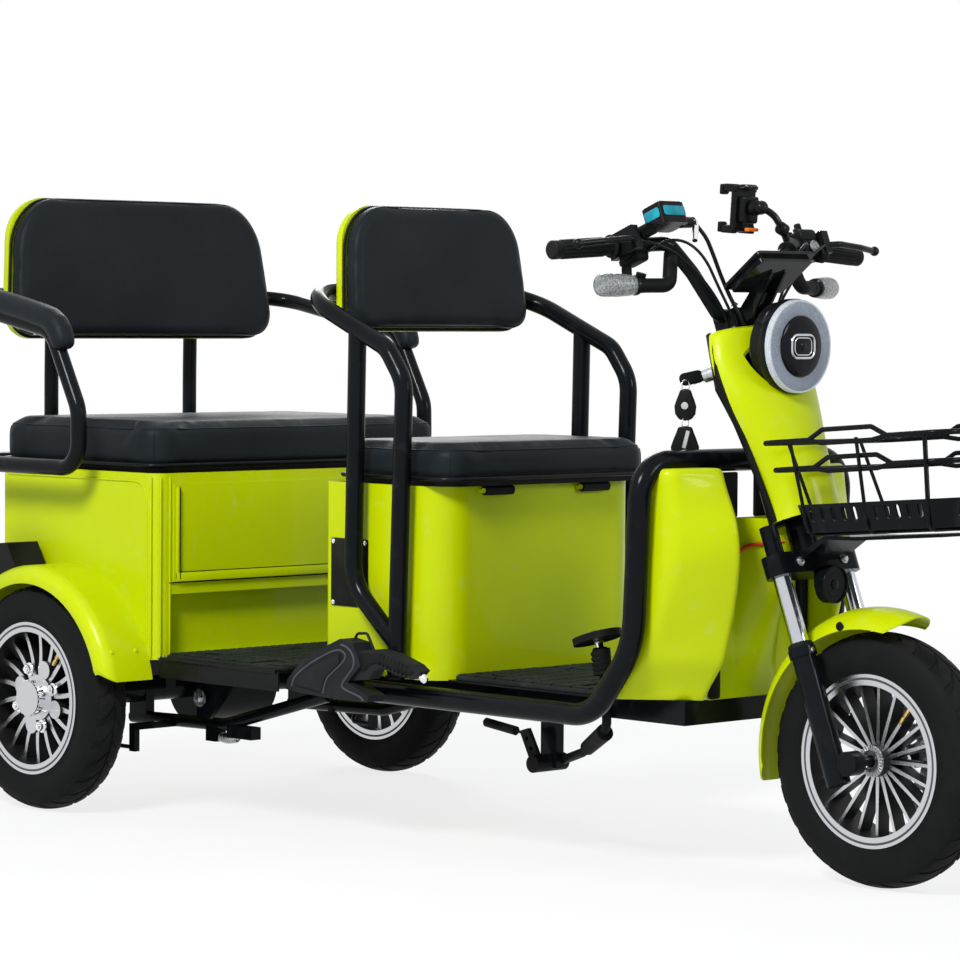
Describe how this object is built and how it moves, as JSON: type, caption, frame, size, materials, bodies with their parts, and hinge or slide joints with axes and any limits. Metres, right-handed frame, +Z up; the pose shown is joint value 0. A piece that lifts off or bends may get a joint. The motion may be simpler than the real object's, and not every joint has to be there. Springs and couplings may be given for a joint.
{
  "type": "electric passenger tricycle",
  "caption": "Electric passenger tricycle with a driver's seat, a rear bench with armrests, a step-through floor, leg shields, a raked fork and a front basket.",
  "frame": {"origin": "on the ground, midway along the overall length, on the centre plane", "axes": "+X forward, +Y left, +Z up"},
  "size_m": [2.2543, 0.9542, 1.1437],
  "materials": {
    "black_frame_paint": "gloss",
    "black_plastic": "satin",
    "black_vinyl": "satin grain",
    "disc_steel": "brushed",
    "grip_rubber": "matt",
    "lamp_plastic": "gloss",
    "lime_paint": "gloss",
    "mat_rubber": "matt",
    "rim_silver": "satin machined",
    "tyre_rubber": "matt"
  },
  "bodies": {
    "chassis": {"armrest_pads": "black_vinyl", "armrest_tubes": "black_frame_paint", "backrest_pads": "black_vinyl", "backrest_shells": "lime_paint", "battery_block": "black_plastic", "brake_pedal": "black_plastic", "chassis_frame": "black_frame_paint", "driver_guard": "black_frame_paint", "driver_seat_box": "lime_paint", "floor_mats": "mat_rubber", "floor_sheets": "black_frame_paint", "leg_shield_hoop": "black_frame_paint", "leg_shield_panel": "lime_paint", "leg_shield_pods": "lime_paint", "neck_cover": "black_plastic", "parking_brake": "black_plastic", "rear_axle": "black_frame_paint", "rear_backrest_posts": "black_frame_paint", "rear_box": "lime_paint", "rear_fenders": "lime_paint", "rear_subframe": "black_frame_paint", "tail_lamps": "lamp_plastic"},
    "steering": {"basket_bracket": "black_frame_paint", "basket_tray": "black_plastic", "basket_wires": "black_frame_paint", "brake_caliper": "black_frame_paint", "brake_levers": "black_frame_paint", "brake_reservoir": "black_plastic", "control_cables": "grip_rubber", "display": "black_plastic", "fork_crown": "black_frame_paint", "fork_legs": "black_frame_paint", "front_fender": "lime_paint", "grips": "grip_rubber", "handlebar": "black_frame_paint", "head_shell": "lime_paint", "head_shell_back": "black_plastic", "headlight": "lamp_plastic", "headlight_bowl": "black_plastic", "horn": "black_plastic", "ignition_lock": "black_plastic", "phone_holder": "black_plastic", "switch_gear": "black_plastic", "turn_signals": "black_plastic"},
    "front_wheel": {"front_brake_disc": "disc_steel", "front_rim": "rim_silver", "front_tyre": "tyre_rubber"},
    "rear_wheel_right": {"rear_rim_right": "rim_silver", "rear_tyre_right": "tyre_rubber"},
    "rear_wheel_left": {"rear_rim_left": "rim_silver", "rear_tyre_left": "tyre_rubber"},
    "driver_seat": {"driver_seat_base": "black_plastic", "driver_seat_cushion": "black_vinyl"},
    "rear_seat": {"rear_seat_base": "black_plastic", "rear_seat_cushion": "black_vinyl"}
  },
  "joints": [
    {"name": "steering", "type": "hinge", "parent": "chassis", "child": "steering", "pos_m": [0.831, 0, 0.208], "axis": [-0.3616, 0, 0.9323], "range_deg": [-40, 40]},
    {"name": "front_wheel_spin", "type": "hinge", "parent": "steering", "child": "front_wheel", "pos_m": [0.87, 0, 0.208], "axis": [0, 1, 0], "continuous": true},
    {"name": "rear_wheel_right_spin", "type": "hinge", "parent": "chassis", "child": "rear_wheel_right", "pos_m": [-0.784, -0.43, 0.208], "axis": [0, 1, 0], "continuous": true},
    {"name": "rear_wheel_left_spin", "type": "hinge", "parent": "chassis", "child": "rear_wheel_left", "pos_m": [-0.784, 0.43, 0.208], "axis": [0, 1, 0], "continuous": true},
    {"name": "driver_seat_lid", "type": "hinge", "parent": "chassis", "child": "driver_seat", "pos_m": [0.098, 0, 0.618], "axis": [0, 1, 0], "range_deg": [0, 75]},
    {"name": "rear_seat_lid", "type": "hinge", "parent": "chassis", "child": "rear_seat", "pos_m": [-1.022, 0, 0.626], "axis": [0, -1, 0], "range_deg": [0, 40]}
  ]
}
